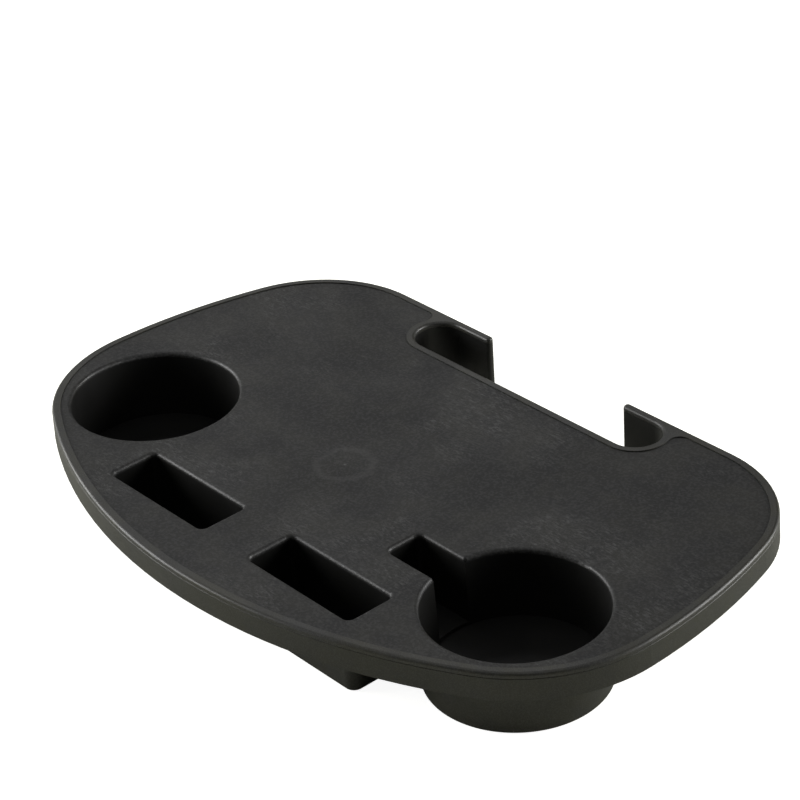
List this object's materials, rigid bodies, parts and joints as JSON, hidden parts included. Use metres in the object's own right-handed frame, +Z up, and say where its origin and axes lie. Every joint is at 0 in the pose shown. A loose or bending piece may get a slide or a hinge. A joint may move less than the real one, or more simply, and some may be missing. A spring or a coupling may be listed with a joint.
{
  "type": "clip-on chair tray",
  "caption": "Rimmed half-moon side tray with cup wells, phone pockets and a back slot whose jaws hook over the arm of a reclining garden chair.",
  "frame": {"origin": "on the surface that the cup wells stand on, under the middle of the tray", "axes": "+X along the straight back edge towards the well with the mug-handle pocket, +Y towards the chair, +Z up"},
  "size_m": [0.3716, 0.2354, 0.0372],
  "materials": {
    "deck_plastic": "fine spark-eroded grain, matte",
    "rim_plastic": "smooth satin",
    "shell_plastic": "smooth satin",
    "well_plastic": "smooth satin",
    "screw_steel": "zinc plated"
  },
  "bodies": {
    "root": {"deck_panel": "deck_plastic", "rim_frame": "rim_plastic", "skirt": "shell_plastic", "chair_hook": "well_plastic", "left_cup_well": "well_plastic", "right_cup_well": "well_plastic", "left_phone_pocket": "well_plastic", "right_phone_pocket": "well_plastic", "hook_screws": "screw_steel", "cup_and_pocket_screws": "screw_steel"}
  },
  "joints": []
}
